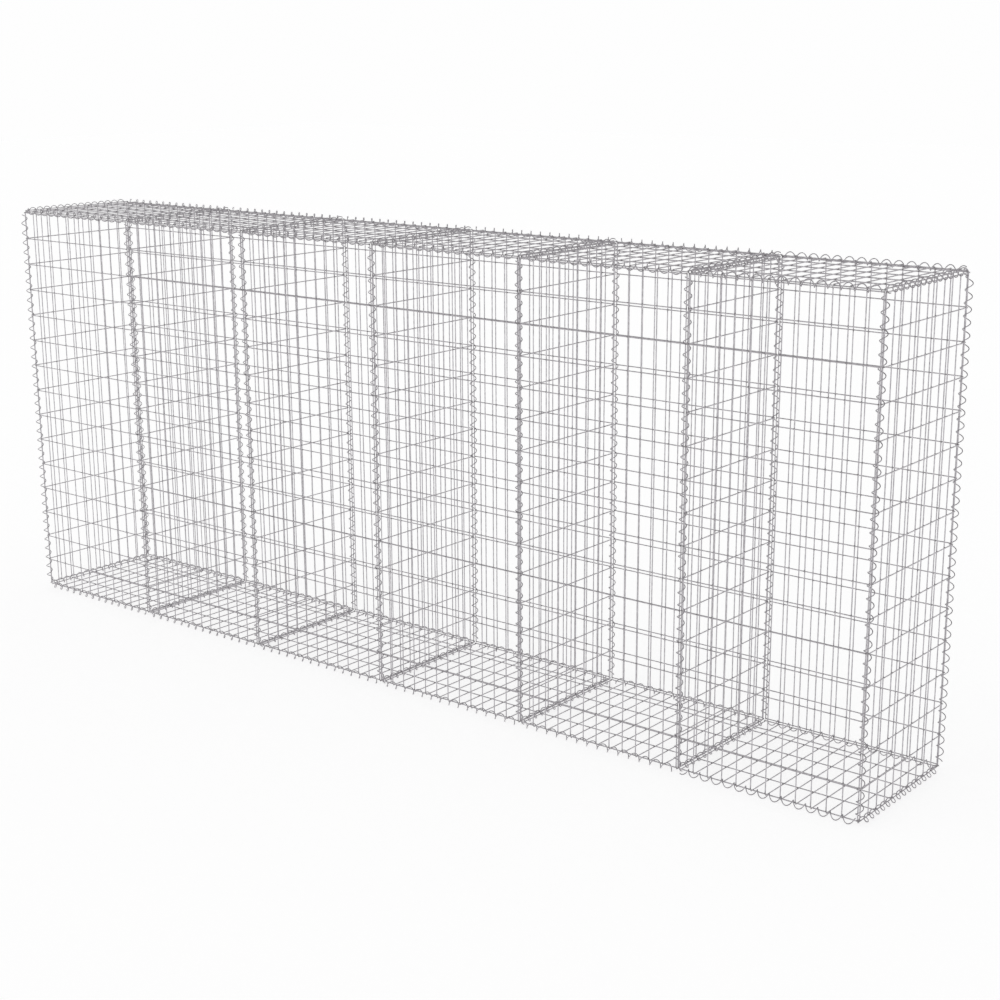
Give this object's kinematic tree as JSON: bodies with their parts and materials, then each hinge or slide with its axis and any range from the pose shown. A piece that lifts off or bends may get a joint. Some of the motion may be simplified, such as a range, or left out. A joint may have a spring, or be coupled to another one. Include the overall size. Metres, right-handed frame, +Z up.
{
  "type": "gabion wall of welded mesh baskets, empty",
  "caption": "Free-standing gabion wall: empty welded-mesh baskets side by side, laced with wire spirals and closed with mesh covers.",
  "frame": {"origin": "on the ground, under the middle of the wall", "axes": "+X along the wall to the right end, +Y from the front face to the back face, +Z up"},
  "size_m": [3.6994, 0.539, 1.5362],
  "materials": {
    "mesh_wire": "galvanised",
    "spiral_wire": "galvanised"
  },
  "bodies": {
    "root": {"front_uprights_1": "mesh_wire", "front_rows_1": "mesh_wire", "back_panel_1": "mesh_wire", "floor_panel_1": "mesh_wire", "cover_panel_1": "mesh_wire", "front_uprights_2": "mesh_wire", "front_rows_2": "mesh_wire", "back_panel_2": "mesh_wire", "floor_panel_2": "mesh_wire", "cover_panel_2": "mesh_wire", "front_uprights_3": "mesh_wire", "front_rows_3": "mesh_wire", "back_panel_3": "mesh_wire", "floor_panel_3": "mesh_wire", "cover_panel_3": "mesh_wire", "front_uprights_4": "mesh_wire", "front_rows_4": "mesh_wire", "back_panel_4": "mesh_wire", "floor_panel_4": "mesh_wire", "cover_panel_4": "mesh_wire", "front_uprights_5": "mesh_wire", "front_rows_5": "mesh_wire", "back_panel_5": "mesh_wire", "floor_panel_5": "mesh_wire", "cover_panel_5": "mesh_wire", "front_uprights_6": "mesh_wire", "front_rows_6": "mesh_wire", "back_panel_6": "mesh_wire", "floor_panel_6": "mesh_wire", "cover_panel_6": "mesh_wire", "partition_1": "mesh_wire", "partition_2": "mesh_wire", "partition_3": "mesh_wire", "partition_4": "mesh_wire", "partition_5": "mesh_wire", "left_end_panel": "mesh_wire", "right_end_panel": "mesh_wire", "upright_spirals_front": "spiral_wire", "upright_spirals_back": "spiral_wire", "cross_spirals_floor": "spiral_wire", "cross_spirals_cover": "spiral_wire", "long_spirals_floor_front": "spiral_wire", "long_spirals_floor_back": "spiral_wire", "long_spirals_cover_front": "spiral_wire", "long_spirals_cover_back": "spiral_wire"}
  },
  "joints": []
}
